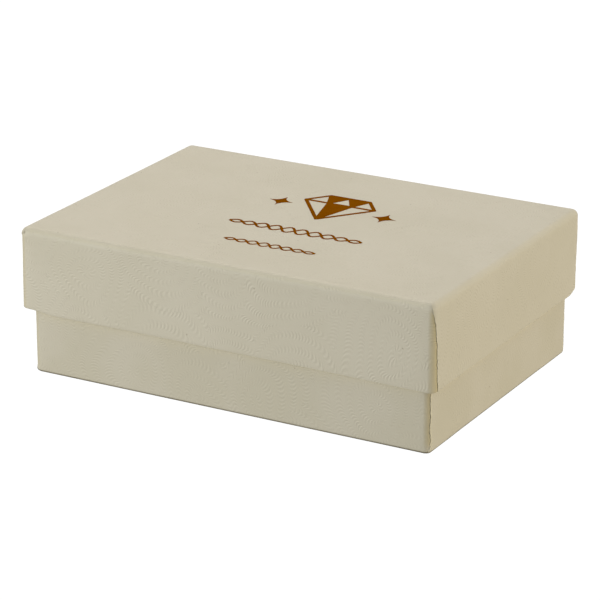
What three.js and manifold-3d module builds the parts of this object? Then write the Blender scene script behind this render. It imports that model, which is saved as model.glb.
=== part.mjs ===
// A two-piece rigid gift box for jewelry, closed: a wrapped chipboard base that holds a cotton
// pad, and a telescoping lid that lifts straight off. Millimetres, +Z up. X runs along the long
// side, Y along the short side, and the origin is the middle of the base's underside.

import * as THREE from 'three';
import { mergeVertices } from 'three/addons/utils/BufferGeometryUtils.js';
import Module from 'manifold-3d';

const wasm = await Module();
wasm.setup();

// Driving dimensions
const LID_LENGTH = 82;
const LID_WIDTH = 58;
const BOX_HEIGHT = 27.5; // closed, up to the lid's top face
const SKIRT_DEPTH = 15.1; // the lid's side walls at its corners, from its top face
const STEP = 1.4; // how far the lid stands out beyond the base on each side
const BOARD = 0.7; // chipboard
const PAPER = 0.12; // wrap sheet, and the tape that stays the corners
const GLUE = 0.02; // glue line between two layers
const CORNER_RADIUS = 1.2; // upright corners, outside
const LID_EDGE_RADIUS = 1.2; // round the lid's top face
const BASE_EDGE_RADIUS = 0.6; // round the base's underside
const LID_TURN_IN = 11; // how far the wrap is turned in over the rim
const BASE_TURN_IN = 15;
const FOLD_FILLET = 0.3; // board, where a wall folds up from the panel
const CORNER_SLIT = 0.1; // between the board's walls, where they meet at a corner
const STAY_LEG = 9; // tape on each side of a corner
const STAY_MARGIN = 0.8; // tape stops this far from the rim and from the rounded edge
const PAD_CLEARANCE = 0.3; // between the pad and the walls, on each side
const PAD_THICKNESS = 14;
const PAD_CORNER_RADIUS = 2;
const PAD_EDGE_RADIUS = 1.5;
const PAD_SHOULDER_RADIUS = 3.5;
const FOIL = 0.02; // hot-stamped ornament
const FOIL_GAP = 0.01;
const STAMP_X = 2.5; // the ornament's middle, right of the lid's middle

// Sizes that follow from them
const WALL = PAPER + GLUE + BOARD + GLUE + PAPER;
const RIM_RADIUS = WALL / 2;
const SKIN = PAPER + GLUE; // from the outside of the wrap to the board
const PANEL = SKIN + BOARD; // from the outside of the wrap to the board's inner face
const BASE_LENGTH = LID_LENGTH - 2 * STEP;
const BASE_WIDTH = LID_WIDTH - 2 * STEP;
const BASE_HEIGHT = BOX_HEIGHT - PANEL - GLUE; // its rim bears the lid
const PAD_LENGTH = BASE_LENGTH - 2 * (WALL + PAD_CLEARANCE);
const PAD_WIDTH = BASE_WIDTH - 2 * (WALL + PAD_CLEARANCE);

// How finely round stretches are cut
const ARC_STEPS = 4; // segments in each arc; getPoints gives an arc twice its divisions
const SHARPEST = 0.05; // radius of a ring's corners where no more is left

const MATERIALS = {
  wrap: { color: 0xd3cbb4, roughness: 0.62 },
  chipboard: { color: 0xa79c88, roughness: 0.9 },
  tape: { color: 0xb8935f, roughness: 0.8 },
  cotton: { color: 0xf4f1ea, roughness: 1.0 },
  foil: { color: 0x7d4600, roughness: 0.35 },
};

function part(name, geometry, materialName) {
  const material = new THREE.MeshStandardMaterial({ metalness: 0, ...MATERIALS[materialName] });
  const mesh = new THREE.Mesh(geometry, material);
  mesh.name = name;
  return mesh;
}

// Joining and cutting

function toSolid(geometry) {
  const bare = geometry.index ? geometry.toNonIndexed() : geometry.clone();
  bare.deleteAttribute('normal');
  bare.deleteAttribute('uv');
  const merged = mergeVertices(bare, 1e-4);
  const vertProperties = merged.getAttribute('position').array;
  const triVerts = new Uint32Array(merged.index.array);
  return new wasm.Manifold(new wasm.Mesh({ numProp: 3, vertProperties, triVerts }));
}

function toGeometry(solid) {
  const mesh = solid.getMesh();
  const geometry = new THREE.BufferGeometry();
  geometry.setAttribute('position', new THREE.BufferAttribute(mesh.vertProperties, 3));
  geometry.setIndex(new THREE.BufferAttribute(mesh.triVerts, 1));
  geometry.computeVertexNormals();
  return geometry;
}

function joined(geometries) {
  return toGeometry(geometries.map(toSolid).reduce((whole, next) => whole.add(next)));
}

function cut(geometry, tools) {
  return toGeometry(tools.map(toSolid).reduce((rest, tool) => rest.subtract(tool), toSolid(geometry)));
}

// A rectangle with round corners, counter-clockwise, always with the same number of points.
function ring(halfLength, halfWidth, radius) {
  const points = [];
  for (let corner = 0; corner < 4; corner++) {
    const middle = Math.PI / 4 + (corner * Math.PI) / 2;
    const x = Math.sign(Math.cos(middle)) * (halfLength - radius);
    const y = Math.sign(Math.sin(middle)) * (halfWidth - radius);
    for (let step = 0; step <= ARC_STEPS; step++) {
      const angle = ((corner + step / ARC_STEPS) * Math.PI) / 2;
      points.push([x + radius * Math.cos(angle), y + radius * Math.sin(angle)]);
    }
  }
  return points;
}

// Carries an outline round a rectangle. An outline's points are (inset from the side, height), and
// it runs from the underside, up the outside, to the last face that looks up. Both ends are closed.
function swept(outline, length, width, cornerRadius) {
  const positions = [];
  const indices = [];
  const rings = outline.getPoints(ARC_STEPS / 2).map(({ x: inset, y: height }) => {
    const radius = Math.max(cornerRadius - inset, SHARPEST);
    const first = positions.length / 3;
    for (const [x, y] of ring(length / 2 - inset, width / 2 - inset, radius)) {
      positions.push(x, y, height);
    }
    return { first, height };
  });
  const count = positions.length / 3 / rings.length;
  const next = (i) => (i + 1) % count;
  for (let k = 0; k + 1 < rings.length; k++) {
    const [low, high] = [rings[k].first, rings[k + 1].first];
    for (let i = 0; i < count; i++) {
      indices.push(low + i, low + next(i), high + next(i));
      indices.push(low + i, high + next(i), high + i);
    }
  }
  const ends = [rings[0], rings[rings.length - 1]];
  ends.forEach(({ first, height }, end) => {
    const centre = positions.length / 3;
    positions.push(0, 0, height);
    for (let i = 0; i < count; i++) {
      const [a, b] = end === 0 ? [next(i), i] : [i, next(i)];
      indices.push(centre, first + a, first + b);
    }
  });
  const geometry = new THREE.BufferGeometry();
  geometry.setAttribute('position', new THREE.Float32BufferAttribute(positions, 3));
  geometry.setIndex(indices);
  geometry.computeVertexNormals();
  return geometry;
}

// Wrapped trays, drawn with the opening up. tray is { length, width, height, edgeRadius, turnIn }.

function wrap({ length, width, height, edgeRadius, turnIn }) {
  const rim = height - RIM_RADIUS;
  const outline = new THREE.Path()
    .moveTo(edgeRadius, 0)
    .absarc(edgeRadius, edgeRadius, edgeRadius, -Math.PI / 2, -Math.PI, true)
    .lineTo(0, rim)
    .absarc(RIM_RADIUS, rim, RIM_RADIUS, Math.PI, 0, true)
    .lineTo(WALL, height - turnIn)
    .lineTo(WALL - PAPER, height - turnIn)
    .lineTo(WALL - PAPER, rim)
    .absarc(RIM_RADIUS, rim, RIM_RADIUS - PAPER, 0, Math.PI, false)
    .lineTo(PAPER, edgeRadius)
    .absarc(edgeRadius, edgeRadius, edgeRadius - PAPER, Math.PI, 1.5 * Math.PI, false);
  return swept(outline, length, width, CORNER_RADIUS);
}

// Tape round one corner, between two insets; spare lengthens it at every end.
function cornerTape({ length, width, height, edgeRadius }, corner, outer, inner, spare) {
  const leg = STAY_LEG + spare;
  const radius = (inset) => CORNER_RADIUS - inset;
  const centre = [length / 2 - CORNER_RADIUS, width / 2 - CORNER_RADIUS];
  const outline = new THREE.Path()
    .moveTo(length / 2 - leg, width / 2 - inner)
    .lineTo(length / 2 - leg, width / 2 - outer)
    .absarc(...centre, radius(outer), Math.PI / 2, 0, true)
    .lineTo(length / 2 - outer, width / 2 - leg)
    .lineTo(length / 2 - inner, width / 2 - leg)
    .absarc(...centre, radius(inner), 0, Math.PI / 2, false);
  const points = outline.getPoints(ARC_STEPS / 2).map(
    ({ x, y }) => new THREE.Vector2(corner.x * x, corner.y * y),
  );
  const low = edgeRadius + STAY_MARGIN - spare;
  const depth = height - STAY_MARGIN + spare - low;
  const shape = new THREE.Shape(points);
  return new THREE.ExtrudeGeometry(shape, { depth, bevelEnabled: false }).translate(0, 0, low);
}

const CORNERS = [
  { name: 'front_left', x: -1, y: -1 },
  { name: 'front_right', x: 1, y: -1 },
  { name: 'rear_right', x: 1, y: 1 },
  { name: 'rear_left', x: -1, y: 1 },
];

// The stay is rolled into the board, flush with its face.
function stay(tray, corner) {
  return cornerTape(tray, corner, SKIN, SKIN + PAPER, 0);
}

function stayRecess(tray, corner) {
  return cornerTape(tray, corner, 0, SKIN + PAPER + GLUE, GLUE);
}

// The slit between a short wall's end and the long wall that it butts against.
function cornerSlit({ length, width, height }, corner) {
  const low = PANEL + GLUE;
  const reach = 2 * PANEL; // right through the short wall
  const slit = new THREE.BoxGeometry(reach, CORNER_SLIT, height);
  const x = length / 2 - reach / 2;
  const y = width / 2 - PANEL - CORNER_SLIT / 2;
  return slit.translate(corner.x * x, corner.y * y, low + height / 2);
}

// A scored blank folded up into a tray: every wall hangs on the panel only.
function board(tray) {
  const { length, width, height, edgeRadius } = tray;
  const rim = height - RIM_RADIUS;
  const outline = new THREE.Path()
    .moveTo(edgeRadius, SKIN)
    .absarc(edgeRadius, edgeRadius, edgeRadius - SKIN, -Math.PI / 2, -Math.PI, true)
    .lineTo(SKIN, rim)
    .absarc(RIM_RADIUS, rim, BOARD / 2, Math.PI, 0, true)
    .lineTo(PANEL, PANEL + FOLD_FILLET)
    .absarc(PANEL + FOLD_FILLET, PANEL + FOLD_FILLET, FOLD_FILLET, Math.PI, 1.5 * Math.PI, false);
  const recesses = CORNERS.map((corner) => stayRecess(tray, corner));
  const slits = CORNERS.map((corner) => cornerSlit(tray, corner));
  return cut(swept(outline, length, width, CORNER_RADIUS), [...recesses, ...slits]);
}

function wrappedTray(prefix, tray) {
  const group = new THREE.Group();
  group.add(part(`${prefix}_board`, board(tray), 'chipboard'));
  for (const corner of CORNERS) {
    group.add(part(`${prefix}_stay_${corner.name}`, stay(tray, corner), 'tape'));
  }
  group.add(part(`${prefix}_wrap`, wrap(tray), 'wrap'));
  return group;
}

// Cotton pad, lying on the base's floor

function pad() {
  const shoulder = PAD_THICKNESS - PAD_SHOULDER_RADIUS;
  const outline = new THREE.Path()
    .moveTo(PAD_EDGE_RADIUS, 0)
    .absarc(PAD_EDGE_RADIUS, PAD_EDGE_RADIUS, PAD_EDGE_RADIUS, -Math.PI / 2, -Math.PI, true)
    .lineTo(0, shoulder)
    .absarc(PAD_SHOULDER_RADIUS, shoulder, PAD_SHOULDER_RADIUS, Math.PI, Math.PI / 2, true);
  return swept(outline, PAD_LENGTH, PAD_WIDTH, PAD_CORNER_RADIUS);
}

// Foil ornament: a cut gem between two sparkles, over two braided bands

const GEM = { width: 14, crown: 4, pavilion: 9, table: 8, line: 0.7 };
const GEM_Y = 9.5; // the gem's girdle
const SPARKLE = { radius: 2.4, waist: 0.42, apart: 10.5, y: 6.5 };
const WIDE_BAND = { length: 26.5, amplitude: 1.35, crossings: 11, line: 0.5, y: -7.2 };
const NARROW_BAND = { length: 18, amplitude: 0.95, crossings: 9, line: 0.42, y: -16.2 };
const DOT_SIDES = 12;
const STEPS_PER_LOOP = 6;

function foilPlate(points) {
  const shape = new THREE.Shape(points.map(([x, y]) => new THREE.Vector2(x, y)));
  return new THREE.ExtrudeGeometry(shape, { depth: FOIL, bevelEnabled: false });
}

function foilDot([x, y], radius) {
  const points = [];
  for (let side = 0; side < DOT_SIDES; side++) {
    const angle = (2 * Math.PI * side) / DOT_SIDES;
    points.push([x + radius * Math.cos(angle), y + radius * Math.sin(angle)]);
  }
  return foilPlate(points);
}

// A line of one width through points, with round joints and ends.
function foilLine(points, width) {
  const pieces = points.map((point) => foilDot(point, width / 2));
  for (let i = 0; i + 1 < points.length; i++) {
    const [[ax, ay], [bx, by]] = [points[i], points[i + 1]];
    const length = Math.hypot(bx - ax, by - ay);
    const nx = ((ay - by) / length) * (width / 2);
    const ny = ((bx - ax) / length) * (width / 2);
    pieces.push(foilPlate([[ax + nx, ay + ny], [ax - nx, ay - ny], [bx - nx, by - ny], [bx + nx, by + ny]]));
  }
  return pieces;
}

function gem({ width, crown, pavilion, table, line }) {
  const culet = [0, -pavilion];
  const girdle = [-1, -1 / 3, 1 / 3, 1].map((t) => [(t * width) / 2, 0]);
  const top = [-1, 0, 1].map((t) => [(t * table) / 2, crown]);
  const outline = [girdle[0], top[0], top[2], girdle[3], culet, girdle[0]];
  const facets = [girdle[0], girdle[1], top[0], girdle[1], top[1], girdle[2], top[2], girdle[2], girdle[3]];
  const pavilionLines = [girdle[1], culet, girdle[2], girdle[1]];
  const shaded = [[girdle[1], culet, girdle[2]], [girdle[1], top[0], top[1]], [girdle[2], top[1], top[2]]];
  const lines = [outline, facets, pavilionLines].flatMap((points) => foilLine(points, line));
  return joined([...lines, ...shaded.map(foilPlate)]);
}

// A four-pointed star whose sides curve in towards its middle.
function sparkle({ radius, waist }) {
  const shape = new THREE.Shape().moveTo(radius, 0);
  for (let quarter = 1; quarter <= 4; quarter++) {
    const [tip, between] = [(quarter * Math.PI) / 2, ((quarter - 0.5) * Math.PI) / 2];
    const [tipX, tipY] = [radius * Math.cos(tip), radius * Math.sin(tip)];
    shape.quadraticCurveTo(waist * Math.cos(between), waist * Math.sin(between), tipX, tipY);
  }
  const corners = shape.getPoints(STEPS_PER_LOOP).slice(1).map(({ x, y }) => [x, y]);
  return foilPlate(corners);
}

// A strand of one width along points, with square ends.
function foilStrand(points, width) {
  const last = points.length - 1;
  const sides = [1, -1].map((side) =>
    points.map(([x, y], i) => {
      const [ax, ay] = points[Math.max(i - 1, 0)];
      const [bx, by] = points[Math.min(i + 1, last)];
      const half = (side * width) / 2 / Math.hypot(bx - ax, by - ay);
      return [x - (by - ay) * half, y + (bx - ax) * half];
    }),
  );
  return foilPlate([...sides[0], ...sides[1].reverse()]);
}

// Two strands that cross and re-cross, smaller towards both ends.
function braid({ length, amplitude, crossings, line }) {
  const loops = crossings - 1;
  const strands = [-1, 1].map((side) => {
    const points = [];
    for (let step = 0; step <= loops * STEPS_PER_LOOP; step++) {
      const t = step / (loops * STEPS_PER_LOOP);
      const swell = 0.45 + 0.55 * Math.sin(Math.PI * t);
      const y = side * amplitude * swell * Math.sin(Math.PI * loops * t);
      points.push([(t - 0.5) * length, y]);
    }
    return foilStrand(points, line);
  });
  return joined(strands);
}

function ornament() {
  const group = new THREE.Group();
  const place = (name, geometry, x, y) => {
    const piece = part(name, geometry, 'foil');
    piece.position.set(x, y, 0);
    group.add(piece);
  };
  place('foil_gem', gem(GEM), 0, GEM_Y);
  place('foil_sparkle_left', sparkle(SPARKLE), -SPARKLE.apart, SPARKLE.y);
  place('foil_sparkle_right', sparkle(SPARKLE), SPARKLE.apart, SPARKLE.y);
  place('foil_band_wide', braid(WIDE_BAND), 0, WIDE_BAND.y);
  place('foil_band_narrow', braid(NARROW_BAND), 0, NARROW_BAND.y);
  return group;
}

// The box

const base = wrappedTray('base', {
  length: BASE_LENGTH,
  width: BASE_WIDTH,
  height: BASE_HEIGHT,
  edgeRadius: BASE_EDGE_RADIUS,
  turnIn: BASE_TURN_IN,
});

const cottonPad = part('cotton_pad', pad(), 'cotton');
cottonPad.position.z = PANEL + GLUE;
base.add(cottonPad);

// The lid is made like the base and turned over.
const lidTray = wrappedTray('lid', {
  length: LID_LENGTH,
  width: LID_WIDTH,
  height: SKIRT_DEPTH,
  edgeRadius: LID_EDGE_RADIUS,
  turnIn: LID_TURN_IN,
});
lidTray.rotation.x = Math.PI;
lidTray.position.z = BOX_HEIGHT;

const stamp = ornament();
stamp.position.set(STAMP_X, 0, BOX_HEIGHT + FOIL_GAP);

const lid = new THREE.Group();
lid.add(lidTray, stamp);

const giftBox = new THREE.Group();
giftBox.add(base, lid);

export default giftBox;
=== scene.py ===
"""A two-piece rigid gift box for jewelry: embossed paper wraps, chipboard, a cotton pad and a foil
ornament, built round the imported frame. Blender objects are in metres; the sizes below are in
millimetres, and every place comes from the frame."""

from dataclasses import dataclass
import math
from typing import Callable

import bpy
import numpy as np
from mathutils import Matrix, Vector, noise


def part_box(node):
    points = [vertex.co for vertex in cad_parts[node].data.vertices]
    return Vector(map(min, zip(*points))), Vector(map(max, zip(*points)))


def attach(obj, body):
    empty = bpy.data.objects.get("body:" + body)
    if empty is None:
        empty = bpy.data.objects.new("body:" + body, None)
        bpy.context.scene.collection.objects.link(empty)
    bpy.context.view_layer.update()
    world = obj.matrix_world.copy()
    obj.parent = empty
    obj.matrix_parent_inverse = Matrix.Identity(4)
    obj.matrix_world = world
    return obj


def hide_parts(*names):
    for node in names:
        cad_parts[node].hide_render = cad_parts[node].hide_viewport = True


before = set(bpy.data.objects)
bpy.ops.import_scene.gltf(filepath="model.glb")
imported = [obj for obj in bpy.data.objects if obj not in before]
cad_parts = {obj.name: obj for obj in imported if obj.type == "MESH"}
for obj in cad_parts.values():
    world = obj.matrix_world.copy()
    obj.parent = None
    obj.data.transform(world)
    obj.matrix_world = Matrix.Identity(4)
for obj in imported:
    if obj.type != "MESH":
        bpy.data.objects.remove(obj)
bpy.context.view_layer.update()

MM = 0.001
PAPER = 0.12  # thickness of a wrap sheet
WALL = 0.98  # paper, board and paper, through one wall
CORNER_RADIUS = 1.2  # upright corners, outside
CORNER_ARC = CORNER_RADIUS * math.pi / 2
UV_SPAN = 100.0  # millimetres of sheet in one unit of the UV map
SHEET_SHIFT = 170.0  # millimetres between the places that two sheets are cut from the roll


def box_mm(node):
    low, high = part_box(node)
    return np.array(low) / MM, np.array(high) / MM


def smooth(low, high, value):
    """0 below low, 1 above high, and an S curve between them."""
    t = min(max((value - low) / (high - low), 0.0), 1.0)
    return t * t * (3.0 - 2.0 * t)


def wander(seed, *coordinates):
    """Smooth noise from -1 to 1, one wave about every two units of its coordinates."""
    point = [*coordinates, 0.0, 0.0, 0.0][:3]
    return noise.noise(Vector(point) + Vector((seed * 17.3, seed * 7.9, seed * 3.1)))


# ---------------------------------------------------------------- wraps

@dataclass
class Tray:
    """A wrapped tray drawn with its opening up, in millimetres, its closed panel at height 0."""

    node: str  # the CAD wrap that it follows
    seam: Callable  # how far round a corner the lapped paper ends, by height and corner
    seed: int
    opening_down: bool
    turn_in: float
    edge_radius: float  # round the closed panel
    drift: float  # how far the walls bow out
    flare: float = 0.0  # how far the left wall leans out at the rim
    droop: float = 0.0  # how far the rim hangs below the board's edge
    crushed: tuple = None  # the corner with the crushed spot
    contact_shade: float = 0.0  # painted contact shadow on the closed panel and its rounded edge
    rubbed: float = 0.0  # wear, lighter at the lapped paper's edge
    # the rim's rounded edge: rubbed lighter, and painted light against the dark line under it
    rim_rub_and_painted_light: float = 0.0
    fold_painted_light: float = 0.0  # painted light on the bend of the long sides' folds
    strip_shade: float = 1.0  # painted shade on the corner strip beside the lapped paper
    painted_light: float = 0.0  # painted light: a lighter band on the base against the lid's shadow, up to the height covered
    covered: float = 0.0

    def __post_init__(self):
        low, high = box_mm(self.node)
        self.length, self.width, self.height = high - low
        self.low, self.high = low[2], high[2]

    def place(self, x, y, height):
        """A point of the tray in the CAD frame, in metres."""
        if self.opening_down:
            return (x * MM, -y * MM, (self.high - height) * MM)
        return (x * MM, y * MM, (self.low + height) * MM)


RIM_RADIUS = 0.24  # the rim is pressed nearly flat between its two rounded edges
LAP = 0.06  # how far the short side's paper stands out over the flap beneath it
LAP_END = (8.5, 12.0)  # the flap thins out between these distances from the corner
LIP = 0.05  # how far the lapped edge lifts
LIP_REACH = 0.7
SEAM_GAP = 0.03
ROW_STEP = 0.4  # rows up a wall
COLUMN_STEP = 1.2
TURN_ROW_STEP = 1.0
CORNER_COLUMNS = 9  # on each side of the seam, at each corner
CORNER_SPREAD = 1.9  # those columns end this far along the short side
BACK_STRIDE = 4  # the glued face has every fourth row
LEFT_CUT = 0.6  # how much further round the left corners' seams run
CRUSH_PLACE = (0.38, 0.8)  # a crushed spot's way round the corner, and height
CRUSH_FADE = (0.2, 0.38)  # crushed fully within the first distance, not at all past the second
CRUSH_DEPTH = 0.12
CRUSH_SOIL = 0.55
# painted shadow along each seam, under the lapped paper's edge
SEAM_SHADOW = 0.55
SEAM_SHOWS = (0.6, 2.2)  # heights between which a seam's marks fade in, above the fold
RUB_WIDTH = 0.35  # of the rubbed edge beside a seam
UNDER_LID_LIGHT_FADE = 3.2  # height over which the painted light under the lid's rim fades in
RIM_REACH = 5.0  # how far up the wall a hanging rim pulls the paper
RIGHT_HANG = 0.2  # how much further the rim hangs at the right
LEFT_BRUISE = (1.5, 6.5)  # the rim's hang begins and is full at these distances from a bruise
RIGHT_BRUISE = (0.4, 3.4)
FOLD_PAINTED_SHADE = 0.035  # painted shade just beside the lid's long folds, against a highlight there
FOLD_LOSS = 0.75  # share of the emboss that creasing has flattened, where the panel turns down
SHORT_LOSS = 0.1  # and on the short sides, which are rolled down last
COLUMN_CROWDING = 1.6  # above 1, a corner's columns crowd towards its seam


def arc_points(centre, radius, start, end, steps):
    """(inset, height, outward inset, outward height) round an arc, angles in degrees."""
    points = []
    for step in range(steps + 1):
        angle = math.radians(start + (end - start) * step / steps)
        out = (math.cos(angle), math.sin(angle))
        points.append((centre[0] + radius * out[0], centre[1] + radius * out[1], *out))
    return points


def outline(tray):
    """The sheet's outer face from the panel's border to the end of the turn-in: a list of
    (inset, height, outward inset, outward height, distance along the sheet)."""
    edge = tray.edge_radius
    rim = tray.height - RIM_RADIUS
    points = [(CORNER_RADIUS, 0.0, 0.0, -1.0)] if edge < CORNER_RADIUS else []
    points += arc_points((edge, edge), edge, -90, -180, 8)
    rows = round((rim - edge) / ROW_STEP)
    points += [(0.0, edge + (rim - edge) * row / rows, -1.0, 0.0) for row in range(1, rows)]
    points += arc_points((RIM_RADIUS, rim), RIM_RADIUS, 180, 90, 5)
    points += arc_points((WALL - RIM_RADIUS, rim), RIM_RADIUS, 90, 0, 5)
    rows = round((tray.turn_in - RIM_RADIUS) / TURN_ROW_STEP)
    end = tray.height - tray.turn_in
    points += [(WALL, rim + (end - rim) * row / rows, 1.0, 0.0) for row in range(1, rows + 1)]
    stations, along = [], 0.0
    for i, point in enumerate(points):
        if i:
            along += math.dist(point[:2], points[i - 1][:2])
        stations.append((*point, along))
    return stations


def corner_columns(sx, sy):
    """Columns round one corner, from the long side to the short side. Each is (side of the seam,
    share of the way from that side's end to the seam)."""
    shares = [i / (CORNER_COLUMNS - 1) for i in range(CORNER_COLUMNS)]
    crowded = [1 - (1 - share) ** COLUMN_CROWDING for share in shares]
    flap = [("flap", share) for share in crowded]
    lapped = [("lapped", share) for share in crowded]
    return [("corner", sx, sy, *column) for column in flap + lapped[::-1]]


def columns_round(tray):
    """All columns counter-clockwise from the front left corner's long side, and the X and Y lines
    that the panel's grid takes from them."""
    half_x = tray.length / 2 - CORNER_RADIUS
    half_y = tray.width / 2 - CORNER_RADIUS
    inner_y = half_y - CORNER_SPREAD
    count_x = round(2 * half_x / COLUMN_STEP)
    count_y = round(2 * inner_y / COLUMN_STEP)
    x_lines = np.linspace(-half_x, half_x, count_x + 1)
    y_lines = np.linspace(-inner_y, inner_y, count_y + 1)
    columns = []
    for sx, sy in ((1, -1), (1, 1), (-1, 1), (-1, -1)):
        corner = corner_columns(sx, sy)
        if sx * sy < 0:  # counter-clockwise, the long side comes first here
            columns += [("long", sx, sy, x) for x in x_lines[1:-1] * -sy]
            columns += corner
        else:
            columns += [("short", sx, sy, y) for y in y_lines[1:-1] * sx]
            columns += corner[::-1]
    return columns, x_lines, y_lines


def column_point(tray, column, station):
    """Where a column crosses a station: (x, y), its place on the unfolded sheet, and how far it is
    from the long side's end along the outside, or None away from the corners."""
    inset, height, _, _, along = station
    kind, sx, sy = column[:3]
    half_x, half_y = tray.length / 2, tray.width / 2
    sheet_x = half_x - CORNER_RADIUS + along
    sheet_y = half_y - CORNER_RADIUS + along
    if kind == "long":
        x = column[3]
        return (x, sy * (half_y - inset)), (x, sy * sheet_y), None
    if kind == "short":
        y = column[3]
        return (sx * (half_x - inset), y), (sx * sheet_x, y), None
    side, share = column[3:]
    seam = tray.seam(height, sx, sy)
    if side == "flap":
        q = (seam - SEAM_GAP / 2) * share
    else:
        far = CORNER_ARC + CORNER_SPREAD
        q = far + (seam + SEAM_GAP / 2 - far) * share
    if q < CORNER_ARC:
        angle = q / CORNER_RADIUS
        radius = CORNER_RADIUS - inset
        x = sx * (half_x - CORNER_RADIUS + radius * math.sin(angle))
        y = sy * (half_y - CORNER_RADIUS + radius * math.cos(angle))
    else:
        x = sx * (half_x - inset)
        y = sy * (half_y - CORNER_RADIUS - (q - CORNER_ARC))
    if side == "flap":
        return (x, y), (sx * (half_x - CORNER_RADIUS + q), sy * sheet_y), q
    return (x, y), (sx * sheet_x, sy * (half_y - CORNER_RADIUS - (q - CORNER_ARC))), q


def outward(tray, column, station, point, q):
    """How far the paper's outer face stands out from its plain place, along its normal, there."""
    _, height, out_inset, _, _ = station
    facing_out = max(-out_inset, 0.0) ** 2
    if facing_out == 0.0:
        return 0.0
    kind, sx, sy = column[:3]
    x, y = point
    bulge = 0.5 + 0.5 * wander(tray.seed, x / 9, y / 9, height / 9)
    left = 0.5 - x / tray.length
    stand = tray.drift * bulge + tray.flare * left * smooth(0.0, tray.height, height)
    stand -= CRUSH_DEPTH * crush(tray, column, height, q)
    seam = tray.seam(height, sx, sy)
    on_lap = kind == "short" or (kind == "corner" and column[3] == "lapped")
    if on_lap:
        from_corner = tray.width / 2 - abs(y) if q is None else max(q, 0.0)
        stand += LAP * (1 - smooth(*LAP_END, from_corner))
        if q is not None:
            lift = 0.6 + 0.8 * wander(tray.seed + 3, height * 0.9, sx, sy)
            stand += LIP * max(lift, 0.0) * (1 - smooth(0.0, LIP_REACH, q - seam)) ** 2
    return stand * facing_out


def crush(tray, column, height, q):
    """1 at the middle of the tray's crushed spot, and 0 away from it."""
    if q is None or tray.crushed is None or column[1:3] != tray.crushed:
        return 0.0
    return 1.0 - smooth(*CRUSH_FADE, math.dist((q, height), CRUSH_PLACE))


def wear(tray, column, station, point, q):
    """(shading and wear, shade and soil) of the outer face there. The first is above 0 on a corner's
    strip beside the lapped paper, painted shade, and below 0 where it is lighter: wear at the lapped
    paper's edge, wear and painted light on the rim, painted light on a long fold's bend and on the base
    under the lid's rim. The second, from 0 to 1, is painted shade and shadow under the base, beside
    the lid's long folds and along the seams, and soil on the crushed spot."""
    _, height, out_inset, out_height, _ = station
    # painted contact shadow: darker where the closed panel turns to face the floor
    painted_shade_and_soil = tray.contact_shade * smooth(0.0, 0.5, -out_height)
    painted_shade_and_soil *= 0.8 + 0.2 * wander(tray.seed + 5, point[0] / 12, point[1] / 12)
    painted_shade_and_soil = max(painted_shade_and_soil, CRUSH_SOIL * crush(tray, column, height, q))
    # the rim's edge: wear and painted light
    painted_light = tray.rim_rub_and_painted_light * smooth(0.1, 0.6, out_height) * smooth(0.0, 0.3, -out_inset)
    # painted light on the base, under the lid's rim where its shadow falls
    painted_light += tray.painted_light * smooth(tray.covered - UNDER_LID_LIGHT_FADE, tray.covered, height) * max(-out_inset, 0.0)
    # painted light on a long fold's bend, painted shade just beside it
    if column[0] == "long" and tray.fold_painted_light > 0.0:
        level = -out_height  # 1 on the panel, and 0 on the wall
        on_bend = smooth(0.25, 0.55, level) * (1.0 - smooth(0.6, 0.9, level))
        beside_bend = smooth(0.7, 0.9, level) * (1.0 - smooth(0.97, 1.0, level))
        painted_light += tray.fold_painted_light * on_bend
        painted_shade_and_soil = max(painted_shade_and_soil, FOLD_PAINTED_SHADE * beside_bend)
    if q is None or out_inset >= 0:
        return -painted_light, painted_shade_and_soil
    seam = tray.seam(height, *column[1:3])
    at_seam = column[4] == 1.0
    shows = smooth(*SEAM_SHOWS, height)
    # painted shadow line at the seam itself
    if at_seam:
        painted_shade_and_soil = max(painted_shade_and_soil, SEAM_SHADOW * shows)
    if column[3] == "lapped":
        return tray.rubbed * (smooth(0.05, RUB_WIDTH, q - seam) - 1.0) * (not at_seam), painted_shade_and_soil
    # painted shade: the corner strip darkens towards the lapped paper's edge
    shade = 0.4 * smooth(0.0, 0.5, q) + 0.6 * smooth(0.3, seam, q)
    return tray.strip_shade * shade * shows * -out_inset, painted_shade_and_soil


def relief_left(column, station):
    """How much of the emboss is left there, from 0 to 1."""
    _, _, out_inset, out_height, _ = station
    on_short = column[0] == "short" or column[3] == "lapped"
    turned = smooth(0.55, 1.0, -out_height)
    loss = FOLD_LOSS * 4.0 * turned * (1.0 - turned)
    return 1.0 - loss - SHORT_LOSS * on_short * max(-out_inset, 0.0)


def slip(tray, height, point):
    """How far the rim hangs below the board's edge there, towards the opening: not at all at two
    bruised corners, and most towards the right."""
    if tray.droop == 0.0:
        return 0.0
    near_rim = smooth(tray.height - RIM_REACH, tray.height, height)
    x, y = point
    from_corner = tray.length / 2 - abs(x) + tray.width / 2 - abs(y)
    bruise = RIGHT_BRUISE if x > 0 else LEFT_BRUISE
    away = smooth(*bruise, from_corner) if x * y < 0 else 1.0
    hang = tray.droop + RIGHT_HANG * smooth(0.1, 0.45, x / tray.length)
    return near_rim * away * (hang + 0.06 * wander(tray.seed + 7, x / 14, y / 14))


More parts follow.
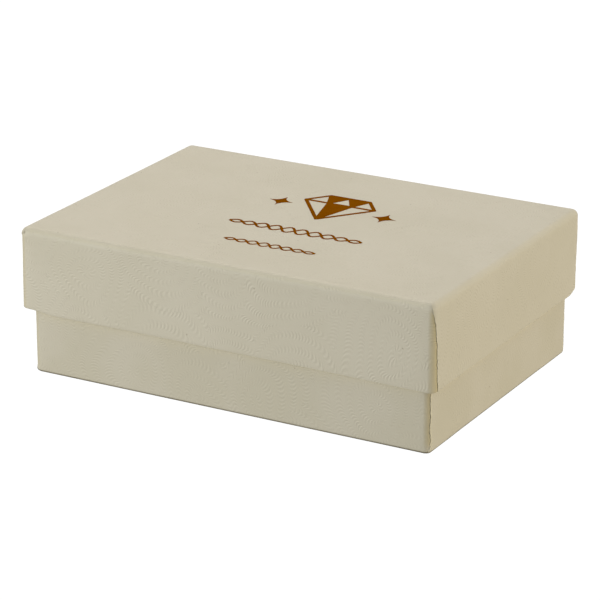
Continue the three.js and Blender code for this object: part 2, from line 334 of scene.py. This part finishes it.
def wrap_mesh(name, tray):
    """One sheet folded round the tray: outer face, rim and turn-in, closed by its glued face."""
    columns, x_lines, y_lines = columns_round(tray)
    stations = outline(tray)
    count = len(columns)
    vertices, sheet, painted_shading_and_wear, painted_shade_and_soil, relief, faces, face_sheets = [], [], [], [], [], [], []

    def add(point, height, place_on_sheet, shading_and_wear=0.0, shade_and_soil=0.0, left=1.0):
        vertices.append(tray.place(*point, height))
        sheet.append(place_on_sheet)
        painted_shading_and_wear.append(shading_and_wear)
        painted_shade_and_soil.append(shade_and_soil)
        relief.append(left)
        return len(vertices) - 1

    # The panel's two grids: the outer face looks away from the opening, the glued face into it.
    border_y = panel_lines(tray, y_lines)
    grids = []
    for height in (0.0, PAPER):
        grids.append([[add((x, y), height, (x, y)) for y in border_y] for x in x_lines])
    for side, grid in enumerate(grids):
        for i in range(len(x_lines) - 1):
            for j in range(len(border_y) - 1):
                quad = [grid[i][j], grid[i][j + 1], grid[i + 1][j + 1], grid[i + 1][j]]
                faces.append(quad if side == 0 else quad[::-1])
                face_sheets.append([sheet[v] for v in faces[-1]])

    def border(side):
        """The grid's vertex for every column, at the panel's border."""
        grid, found = grids[side], []
        for column in columns:
            (x, y), _, _ = column_point(tray, column, stations[0])
            i = int(np.argmin(abs(x_lines - x)))
            j = int(np.argmin(abs(border_y - y)))
            found.append(grid[i][j])
        return found

    def ring(station, depth):
        """A ring of vertices under the outer face by depth, with each one's place on the sheet."""
        inset, height, out_inset, out_height, along = station
        indices, places = [], []
        for column in columns:
            point, place, q = column_point(tray, column, station)
            stand = outward(tray, column, station, point, q) if depth == 0 else -depth
            moved = (inset + stand * out_inset, height, out_inset, out_height, along)
            point, _, _ = column_point(tray, column, moved)
            raised = height + stand * out_height + slip(tray, height, point)
            shading_and_wear, shade_and_soil = wear(tray, column, station, point, q)
            left = relief_left(column, station)
            indices.append(add(point, raised, place, shading_and_wear, shade_and_soil, left))
            places.append(place)
        return indices, places

    def stitch(low, high, places_low, places_high, outside):
        for j in range(count):
            k = (j + 1) % count
            quad = [low[j], low[k], high[k], high[j]]
            at = [places_low[j], places_low[k], places_high[k], places_high[j]]
            if columns[j][0] == columns[k][0] == "corner" and columns[j][3] != columns[k][3]:
                at = [at[0], at[0], at[3], at[3]]  # the cut edge takes one side's place
            if not outside:
                quad, at = quad[::-1], at[::-1]
            kept = [i for i, v in enumerate(quad) if v != quad[i - 1]]
            if len(kept) >= 3:
                faces.append([quad[i] for i in kept])
                face_sheets.append([at[i] for i in kept])

    last = len(stations) - 1
    ends = []
    for side, depth in enumerate((0.0, PAPER)):
        chosen = range(1, last + 1) if side == 0 else [*range(1, last, BACK_STRIDE), last]
        low = border(side)
        places = [column_point(tray, column, stations[0])[1] for column in columns]
        for i in chosen:
            high, high_places = ring(stations[i], depth)
            stitch(low, high, places, high_places, side == 0)
            low, places = high, high_places
        ends.append((low, places))
    (front, front_places), (back, back_places) = ends
    stitch(front, back, front_places, back_places, True)

    mesh = bpy.data.meshes.new(name)
    mesh.from_pydata(vertices, [], faces)
    uv = mesh.uv_layers.new(name="sheet")
    shift = tray.seed * SHEET_SHIFT
    flat = [(value + shift) / UV_SPAN for places in face_sheets for at in places for value in at]
    uv.data.foreach_set("uv", flat)
    for layer, values in (("painted_shading_and_wear", painted_shading_and_wear), ("painted_shade_and_soil", painted_shade_and_soil), ("relief", relief)):
        mesh.attributes.new(layer, "FLOAT", "POINT").data.foreach_set("value", values)
    mesh.shade_smooth()
    mesh.set_sharp_from_angle(angle=math.radians(40))
    mesh.validate()
    piece = bpy.data.objects.new(name, mesh)
    bpy.context.scene.collection.objects.link(piece)
    return piece


def panel_lines(tray, y_lines):
    """The Y lines of the panel's grid: the short sides' columns, and the corner columns that lie
    past the corner's arc at the panel's border."""
    half_y = tray.width / 2 - CORNER_RADIUS
    beyond = []
    for side, share in [column[3:] for column in corner_columns(1, 1)]:
        if side == "lapped":
            far = CORNER_ARC + CORNER_SPREAD
            q = far + (tray.seam(0.0, 1, 1) + SEAM_GAP / 2 - far) * share
            if q > CORNER_ARC:
                beyond.append(half_y - (q - CORNER_ARC))
    upper = sorted(beyond)
    middle = list(y_lines[1:-1])
    lines = [-y for y in upper[::-1]] + middle + upper
    return np.array([-half_y] + lines + [half_y])


def lid_seam(height, sx, sy):
    """How far round the corner the seam runs: from the corner's middle at the panel, to the end of
    its curve at the rim."""
    rise = 0.6 + 0.75 * smooth(0.0, 4.0, height) + 0.7 * smooth(3.0, 15.0, height)
    return rise + further(height, sx) + 0.9 * ragged(height, sx, sy, 0.0)


def base_seam(height, sx, sy):
    rise = 0.9 + 0.45 * smooth(0.0, 1.5, height)
    return rise + further(height, sx) + ragged(height, sx, sy, 5.0)


def further(height, sx):
    """The left sheet ends were cut a little shorter, so their seams run further round."""
    return LEFT_CUT * smooth(0.0, 2.0, height) if sx < 0 else 0.0


def ragged(height, sx, sy, seed):
    """The torn edge of the lapped paper; straight where the panel's grid meets it."""
    free = smooth(0.0, 1.0, height)
    seed = seed + 2 * sx + sy
    return free * (0.22 * wander(seed, height / 2.2) + 0.2 * wander(seed + 1, height / 0.55))


lid_tray = Tray(
    "lid_wrap",
    seam=lid_seam,
    seed=1,
    opening_down=True,
    turn_in=11.0,
    edge_radius=1.2,
    drift=0.06,
    flare=0.17,
    droop=0.52,
    crushed=(-1, 1),
    rubbed=0.4,
    rim_rub_and_painted_light=1.3,
    fold_painted_light=0.3,
)
base_tray = Tray(
    "base_wrap",
    seam=base_seam,
    seed=2,
    opening_down=False,
    turn_in=15.0,
    edge_radius=0.6,
    drift=0.03,
    contact_shade=1.0,
    rubbed=1.0,
    strip_shade=0.85,
    painted_light=0.36,
    covered=lid_tray.low - box_mm("base_wrap")[0][2],
)
lid_sheet = wrap_mesh("lid_wrap_sheet", lid_tray)
base_sheet = wrap_mesh("base_wrap_sheet", base_tray)
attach(lid_sheet, "lid")
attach(base_sheet, "base")
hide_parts("lid_wrap")
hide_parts("base_wrap")


# ---------------------------------------------------------------- materials

class Graph:
    """A short way to write a node tree: every method returns an output socket."""

    def __init__(self, name):
        self.material = bpy.data.materials.new(name)
        self.material.use_nodes = True
        self.tree = self.material.node_tree
        self.tree.nodes.clear()

    def node(self, kind, inputs=(), output=0, **settings):
        made = self.tree.nodes.new(kind)
        for name, value in settings.items():
            setattr(made, name, value)
        pairs = inputs.items() if isinstance(inputs, dict) else enumerate(inputs)
        for key, value in pairs:
            if isinstance(value, bpy.types.NodeSocket):
                self.tree.links.new(value, made.inputs[key])
            elif value is not None:
                made.inputs[key].default_value = value
        return made.outputs[output] if len(made.outputs) else None

    def math(self, operation, *values, clamp=False):
        return self.node("ShaderNodeMath", values, operation=operation, use_clamp=clamp)

    def vector(self, operation, *values, output=0):
        return self.node("ShaderNodeVectorMath", values, output, operation=operation)

    def noise(self, vector, scale, detail=2.0, rough=0.5, output=0, dimensions="3D"):
        inputs = {"Vector": vector, "Scale": scale, "Detail": detail, "Roughness": rough}
        return self.node("ShaderNodeTexNoise", inputs, output, noise_dimensions=dimensions)

    def span(self, value, low, high, to_low=0.0, to_high=1.0, kind="SMOOTHSTEP"):
        inputs = (value, low, high, to_low, to_high)
        return self.node("ShaderNodeMapRange", inputs, interpolation_type=kind)

    def mix(self, share, first, second, blend="MIX"):
        inputs = {0: share, 6: first, 7: second}
        return self.node("ShaderNodeMix", inputs, 2, data_type="RGBA", blend_type=blend)

    def bump(self, height, strength, distance, normal=None):
        inputs = {"Height": height, "Strength": strength, "Distance": distance}
        if normal is not None:
            inputs["Normal"] = normal
        return self.node("ShaderNodeBump", inputs)

    def surface(self, color, roughness, normal=None, **more):
        inputs = {"Base Color": color, "Roughness": roughness}
        if normal is not None:
            inputs["Normal"] = normal
        inputs.update({key.replace("_", " "): value for key, value in more.items()})
        shader = self.node("ShaderNodeBsdfPrincipled", inputs)
        self.node("ShaderNodeOutputMaterial", {"Surface": shader})
        return self.material


def rgb(red, green, blue):
    """A colour given as sRGB from 0 to 255, as the linear colour that nodes take."""
    values = [channel / 255 for channel in (red, green, blue)]
    linear = [v / 12.92 if v <= 0.04045 else ((v + 0.055) / 1.055) ** 2.4 for v in values]
    return (*linear, 1.0)


WHORL = 15.0  # between the middles of two whorls
BAND = 2.05  # from one band of strokes to the next
STROKE = 0.68  # from one stroke to the next along a band


def swirl(g, sheet_mm, relief=1.0):
    """The emboss: bands of short crescent strokes that run round scattered whorls. Returns the
    height from 0 to 1. sheet_mm is the place on the sheet, in millimetres, and relief how much of
    the emboss is left there."""
    sway = g.noise(sheet_mm, 0.07, 1.0, 0.4, output=1, dimensions="2D")
    sway = g.vector("SUBTRACT", sway, (0.5, 0.5, 0.5))
    sway = g.vector("MULTIPLY", sway, (6.0, 6.0, 0.0))
    swayed = g.vector("ADD", sheet_mm, sway)
    cells = {"Vector": swayed, "Scale": 1 / WHORL, "Randomness": 0.9}
    middle = g.node("ShaderNodeTexVoronoi", cells, "Position", voronoi_dimensions="2D")
    arm = g.vector("SUBTRACT", swayed, middle)
    x, y = (g.node("ShaderNodeSeparateXYZ", (arm,), i) for i in (0, 1))
    turn = g.math("ARCTAN2", y, x)
    bands = g.math("DIVIDE", g.vector("LENGTH", arm, output=1), BAND)
    band = g.math("FLOOR", bands)
    across = g.math("SUBTRACT", g.math("FRACT", bands), 0.5)
    round_band = g.math("ADD", band, 0.5)
    strokes = g.math("ROUND", g.math("MULTIPLY", round_band, 2 * math.pi * BAND / STROKE))
    bow = g.math("MULTIPLY", g.math("MULTIPLY", across, across), 36.0)
    lean = g.math("MULTIPLY", across, 1.5)
    phase = g.math("MULTIPLY", strokes, turn)
    phase = g.math("ADD", g.math("ADD", phase, bow), g.math("ADD", lean, round_band))
    edge = g.math("ABSOLUTE", across)
    inside = g.span(edge, 0.16, 0.38, 1.0, 0.0)
    patchy = g.span(g.noise(sheet_mm, 0.09, 1.0, dimensions="2D"), 0.35, 0.6, 0.8, 1.0)
    uneven = g.span(g.noise(sheet_mm, 0.4, 1.0, dimensions="2D"), 0.3, 0.55, 0.72, 1.0)
    pressed = g.math("MULTIPLY", g.math("MULTIPLY", patchy, uneven), inside)
    pressed = g.math("MULTIPLY", pressed, relief)
    return g.math("MULTIPLY_ADD", g.math("SINE", phase), g.math("MULTIPLY", pressed, 0.5), 0.5)


LID_COLORS = rgb(207, 199, 180), rgb(204, 196, 176)
BASE_COLORS = rgb(204, 196, 177), rgb(200, 192, 171)
# painted shade of the corner strips beside the lapped paper
STRIP_SHADE_COLOR = rgb(178, 160, 104)
# lighter: wear at the lapped paper's edge and rim, painted light on the rim, folds and base under the
# lid
WORN_AND_PAINTED_LIGHT_COLOR = rgb(232, 222, 190)
# painted shade and shadow under the base, by the folds and along seams; soil on the crushed spot
SHADE_AND_SOIL_COLOR = rgb(104, 94, 70)
STROKE_COLOR = rgb(225, 219, 203)  # faintly, on the raised strokes
FIBRE_COLOR = rgb(172, 160, 132)
SPECK_COLOR = rgb(120, 96, 62)
LID_EMBOSS = 0.039 * MM
BASE_EMBOSS = 0.029 * MM  # the base has been handled more
GRAIN_DEPTH = 0.012 * MM


def wrap_paper(name, emboss_depth, pale, deep):
    """Cream paper, embossed all over, with a faint satin coat."""
    g = Graph(name)
    uv = g.node("ShaderNodeUVMap", uv_map="sheet")
    sheet_mm = g.vector("MULTIPLY", uv, (UV_SPAN, UV_SPAN, 0.0))
    relief = g.node("ShaderNodeAttribute", output="Fac", attribute_name="relief")
    height = swirl(g, sheet_mm, relief)
    grain = g.noise(sheet_mm, 3.2, 3.0, 0.6, dimensions="2D")
    cloud = g.noise(sheet_mm, 0.07, 3.0, 0.55, dimensions="2D")
    color = g.mix(g.span(cloud, 0.3, 0.7), pale, deep)
    color = g.mix(g.math("MULTIPLY", height, 0.05), color, STROKE_COLOR)
    fibre = g.span(grain, 0.62, 0.8, 0.0, 0.1)
    color = g.mix(fibre, color, FIBRE_COLOR)
    speck_cells = {"Vector": sheet_mm, "Scale": 0.048, "Randomness": 1.0}
    speck = g.node("ShaderNodeTexVoronoi", speck_cells, "Distance", voronoi_dimensions="2D")
    color = g.mix(g.span(speck, 0.003, 0.009, 0.45, 0.0), color, SPECK_COLOR)
    # painted shade on the corner strips; wear and painted light where lighter
    painted_shading_and_wear = g.node("ShaderNodeAttribute", output="Fac", attribute_name="painted_shading_and_wear")
    color = g.mix(g.math("MULTIPLY", painted_shading_and_wear, 0.6, clamp=True), color, STRIP_SHADE_COLOR)
    color = g.mix(g.math("MULTIPLY", painted_shading_and_wear, -0.7, clamp=True), color, WORN_AND_PAINTED_LIGHT_COLOR)
    # painted shade and shadow, and soil on the crushed spot
    painted_shade_and_soil = g.node("ShaderNodeAttribute", output="Fac", attribute_name="painted_shade_and_soil")
    color = g.mix(painted_shade_and_soil, color, SHADE_AND_SOIL_COLOR)
    normal = g.bump(height, 1.0, emboss_depth)
    normal = g.bump(grain, 1.0, GRAIN_DEPTH, normal)
    roughness = g.math("MULTIPLY_ADD", height, -0.08, 0.56)
    return g.surface(color, roughness, normal, Specular_IOR_Level=0.35)


def chipboard():
    """Grey-brown board pressed from waste paper, with darker and lighter flecks."""
    g = Graph("chipboard_grey")
    place = g.vector("MULTIPLY", g.node("ShaderNodeTexCoord", output="Object"), (1000.0,) * 3)
    cloud = g.noise(place, 0.25, 4.0, 0.6)
    fleck = g.noise(g.vector("MULTIPLY", place, (0.5, 2.2, 1.0)), 1.7, 3.0, 0.65)
    color = g.mix(g.span(cloud, 0.3, 0.7), rgb(176, 166, 147), rgb(160, 149, 129))
    color = g.mix(g.span(fleck, 0.6, 0.72, 0.0, 0.6), color, rgb(112, 100, 82))
    color = g.mix(g.span(fleck, 0.4, 0.3, 0.0, 0.5), color, rgb(205, 198, 184))
    normal = g.bump(fleck, 1.0, 0.03 * MM)
    return g.surface(color, 0.92, normal, Specular_IOR_Level=0.2)


def kraft_tape():
    """Brown gummed kraft paper."""
    g = Graph("kraft_stay_tape")
    place = g.vector("MULTIPLY", g.node("ShaderNodeTexCoord", output="Object"), (1000.0,) * 3)
    fibre = g.noise(g.vector("MULTIPLY", place, (1.0, 1.0, 3.0)), 2.0, 4.0, 0.6)
    color = g.mix(g.span(fibre, 0.35, 0.65), rgb(184, 147, 100), rgb(165, 128, 84))
    return g.surface(color, 0.75, g.bump(fibre, 1.0, 0.02 * MM), Specular_IOR_Level=0.3)


def cotton():
    """Glazed cotton batting: matted white fibres."""
    g = Graph("cotton_batting")
    place = g.vector("MULTIPLY", g.node("ShaderNodeTexCoord", output="Object"), (1000.0,) * 3)
    sway = g.vector("MULTIPLY", g.noise(place, 0.35, 2.0, output=1), (5.0, 5.0, 5.0))
    swayed = g.vector("ADD", place, sway)
    fine = g.noise(g.vector("MULTIPLY", swayed, (0.35, 3.5, 2.0)), 1.2, 4.0, 0.7)
    cross = g.noise(g.vector("MULTIPLY", swayed, (3.5, 0.35, 2.0)), 1.0, 4.0, 0.7)
    clump = g.noise(place, 0.22, 3.0, 0.6)
    mat = g.math("MAXIMUM", fine, cross)
    color = g.mix(g.span(mat, 0.42, 0.72), rgb(226, 223, 214), rgb(250, 249, 245))
    color = g.mix(g.span(clump, 0.35, 0.7, 0.3, 0.0), color, rgb(208, 203, 192))
    normal = g.bump(clump, 0.8, 0.7 * MM)
    normal = g.bump(mat, 1.0, 0.3 * MM, normal)
    return g.surface(color, 0.95, normal, Specular_IOR_Level=0.1, Sheen_Weight=0.3)


def foil():
    """Brown hot-stamped foil, pressed over the emboss."""
    g = Graph("brown_stamping_foil")
    place = g.vector("MULTIPLY", g.node("ShaderNodeTexCoord", output="Object"), (1000.0,) * 3)
    turned = g.vector("MULTIPLY", place, (1.0, -1.0, 0.0))
    height = swirl(g, g.vector("ADD", turned, (SHEET_SHIFT, SHEET_SHIFT, 0.0)))
    wear = g.noise(place, 2.4, 4.0, 0.65)
    cloud = g.noise(place, 0.16, 2.0)
    color = g.mix(g.span(cloud, 0.35, 0.65), rgb(126, 71, 0), rgb(133, 76, 2))
    color = g.mix(g.span(wear, 0.68, 0.76, 0.0, 0.5), color, rgb(178, 138, 84))
    normal = g.bump(height, 0.6, LID_EMBOSS)
    return g.surface(color, 0.6, normal, Specular_IOR_Level=0.0)


def dress(piece, material):
    """Gives a piece, or a carried-over CAD node, one material."""
    if not piece.material_slots:
        piece.data.materials.append(material)
    for slot in piece.material_slots:
        slot.material = material


board = chipboard()
tape = kraft_tape()
ornament = foil()
dress(lid_sheet, wrap_paper("embossed_lid_paper", LID_EMBOSS, *LID_COLORS))
dress(base_sheet, wrap_paper("embossed_base_paper", BASE_EMBOSS, *BASE_COLORS))
for name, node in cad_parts.items():
    if name.endswith("_board"):
        dress(node, board)
    elif "_stay_" in name:
        dress(node, tape)
    elif name.startswith("foil_"):
        dress(node, ornament)


# ---------------------------------------------------------------- cotton pad

SIM_SCALE = 10.0  # cloth settles best when its piece is about a metre long
PAD_INSET = 0.8  # the batt starts smaller on every side, and swells
PAD_VOXEL = 1.2
PAD_PRESSURE = 4.0
PAD_SWELL = 1.1  # no point moves further
PAD_FRAMES = 20
PAD_SLACK = 0.2  # how far it may press past the cut block's sides; the tray's walls are further


def evaluated(piece):
    """A piece's mesh with its modifiers applied."""
    graph = bpy.context.evaluated_depsgraph_get()
    graph.update()
    return bpy.data.meshes.new_from_object(piece.evaluated_get(graph))


def read_points(mesh):
    points = np.empty(len(mesh.vertices) * 3)
    mesh.vertices.foreach_get("co", points)
    return points.reshape(-1, 3)


def write_points(mesh, points):
    mesh.vertices.foreach_set("co", points.ravel())
    mesh.update()


def swell(piece):
    """Blows the piece up as closed cloth, with no gravity, and keeps the shape that it settles to."""
    cloth = piece.modifiers.new("swell", "CLOTH")
    cloth.settings.use_pressure = True
    cloth.settings.uniform_pressure_force = PAD_PRESSURE
    cloth.settings.effector_weights.gravity = 0.0
    cloth.point_cache.frame_end = PAD_FRAMES
    scene = bpy.context.scene
    for step in range(1, PAD_FRAMES + 1):
        scene.frame_set(step)
    before, after = read_points(piece.data), read_points(evaluated(piece))
    scene.frame_set(1)
    piece.modifiers.clear()
    move = after - before
    cap = PAD_SWELL * MM * SIM_SCALE
    length = np.maximum(np.linalg.norm(move, axis=1, keepdims=True), 1e-9)
    write_points(piece.data, before + move * np.minimum(1.0, cap / length))


def batt_surface(points, normals):
    """The uneven skin of pressed fibres, in millimetres: broad puffs, small tufts, and round the
    cut sides the edges of the layers that the batt is rolled from."""
    for i, point in enumerate(points):
        x, y, z = point
        puff = 0.22 * wander(11, *(point / 7.0)) + 0.13 * wander(12, *(point / 2.6))
        tuft = 0.09 * wander(13, *(point / 1.1))
        on_side = 1.0 - abs(normals[i][2])
        layer = 0.3 * on_side * wander(14, x / 14, y / 14, z / 1.3)
        points[i] = point + normals[i] * (puff + tuft + layer - 0.1)
    return points


def cotton_batt():
    low, high = box_mm("cotton_pad")
    centre, size = (low + high) / 2, high - low
    piece = bpy.data.objects.new("cotton_batt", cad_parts["cotton_pad"].data.copy())
    bpy.context.scene.collection.objects.link(piece)
    points = read_points(piece.data) / MM - centre
    points *= (size - 2 * PAD_INSET) / size
    write_points(piece.data, points * MM * SIM_SCALE)
    remesh = piece.modifiers.new("even", "REMESH")
    remesh.mode = "VOXEL"
    remesh.voxel_size = PAD_VOXEL * MM * SIM_SCALE
    piece.data = evaluated(piece)
    piece.modifiers.clear()
    swell(piece)
    smoother = piece.modifiers.new("smoother", "SUBSURF")
    smoother.levels = 1
    piece.data = evaluated(piece)
    piece.modifiers.clear()
    mesh = piece.data
    normals = np.array([vertex.normal for vertex in mesh.vertices])
    points = read_points(mesh) / (MM * SIM_SCALE) + centre
    points = batt_surface(points, normals)
    points = np.clip(points, low - (PAD_SLACK, PAD_SLACK, 0.0), high + (PAD_SLACK, PAD_SLACK, 0.4))
    write_points(mesh, points * MM)
    mesh.shade_smooth()
    dress(piece, cotton())
    return piece


batt = cotton_batt()
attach(batt, "pad")
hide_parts("cotton_pad")


# ---------------------------------------------------------------- studio

def area_light(name, azimuth, elevation, distance, size, power, color):
    """A square soft box that looks at the box's middle; azimuth 0 is in front."""
    data = bpy.data.lights.new(name, "AREA")
    data.shape = "SQUARE"
    data.size = size
    data.energy = power
    data.color = color
    light = bpy.data.objects.new(name, data)
    bpy.context.scene.collection.objects.link(light)
    a, e = math.radians(azimuth), math.radians(elevation)
    back = Vector((math.sin(a) * math.cos(e), -math.cos(a) * math.cos(e), math.sin(e)))
    light.location = middle + back * distance
    light.rotation_mode = "QUATERNION"
    light.rotation_quaternion = back.to_track_quat("Z", "Y")
    return light


middle = Vector((0.0, 0.0, (lid_tray.high / 2) * MM))

CAMERA_AZIMUTH, CAMERA_ELEVATION = 29.16, 19.93
CAMERA_DISTANCE = 6.37 * lid_tray.length * MM
camera_data = bpy.data.cameras.new("camera")
camera_data.sensor_width = 36.0
camera_data.lens = 174.2
camera_data.shift_x = -0.0039
camera_data.shift_y = -0.0165
camera = bpy.data.objects.new("camera", camera_data)
bpy.context.scene.collection.objects.link(camera)
azimuth, elevation = math.radians(CAMERA_AZIMUTH), math.radians(CAMERA_ELEVATION)
camera_back = Vector((
    math.sin(azimuth) * math.cos(elevation),
    -math.cos(azimuth) * math.cos(elevation),
    math.sin(elevation),
))
camera.location = middle + camera_back * CAMERA_DISTANCE
camera.rotation_mode = "QUATERNION"
camera.rotation_quaternion = camera_back.to_track_quat("Z", "Y")
bpy.context.scene.camera = camera

WORLD_ABOVE = (0.4, 0.423, 0.445)
WORLD_BELOW = (0.25, 0.25, 0.25)


def surroundings():
    """Soft light from everywhere: the room above the horizon, and a pale table's glow below it."""
    world = bpy.data.worlds.new("studio")
    world.use_nodes = True
    tree = world.node_tree
    place = tree.nodes.new("ShaderNodeTexCoord")
    split = tree.nodes.new("ShaderNodeSeparateXYZ")
    ramp = tree.nodes.new("ShaderNodeMapRange")
    blend = tree.nodes.new("ShaderNodeMix")
    blend.data_type = "RGBA"
    ramp.inputs["From Min"].default_value = -0.1
    ramp.inputs["From Max"].default_value = 0.1
    blend.inputs[6].default_value = (*WORLD_BELOW, 1.0)
    blend.inputs[7].default_value = (*WORLD_ABOVE, 1.0)
    tree.links.new(place.outputs["Generated"], split.inputs["Vector"])
    tree.links.new(split.outputs["Z"], ramp.inputs["Value"])
    tree.links.new(ramp.outputs["Result"], blend.inputs[0])
    tree.links.new(blend.outputs[2], tree.nodes["Background"].inputs["Color"])
    return world


bpy.context.scene.world = surroundings()
bpy.context.scene.view_settings.view_transform = "Standard"

SOFT_BOXES = [  # name, azimuth, elevation, distance, size, power, colour
    ("left", -38, 5, 0.6, 0.35, 2.24, (1.0, 1.0, 0.935)),
    ("right", 100, 5, 1.3, 0.7, 10.1, (1.0, 0.905, 0.686)),
    ("above", 215, 50, 1.3, 0.8, 8.54, (1.0, 0.925, 0.81)),
]
for soft_box in SOFT_BOXES:
    area_light(*soft_box)


def floor():
    """A plain white sweep, just under the box. It neither lights nor shades it."""
    bpy.ops.mesh.primitive_grid_add(x_subdivisions=8, y_subdivisions=8, size=6.0)
    sweep = bpy.context.object
    sweep.name = "studio_floor"
    sweep.location.z = -0.00005
    g = Graph("white_sweep")
    glow = g.node("ShaderNodeEmission", {"Color": (1.0, 1.0, 1.0, 1.0), "Strength": 1.05})
    g.node("ShaderNodeOutputMaterial", {"Surface": glow})
    dress(sweep, g.material)
    sweep.visible_diffuse = False
    sweep.visible_glossy = False
    sweep.visible_shadow = False


floor()
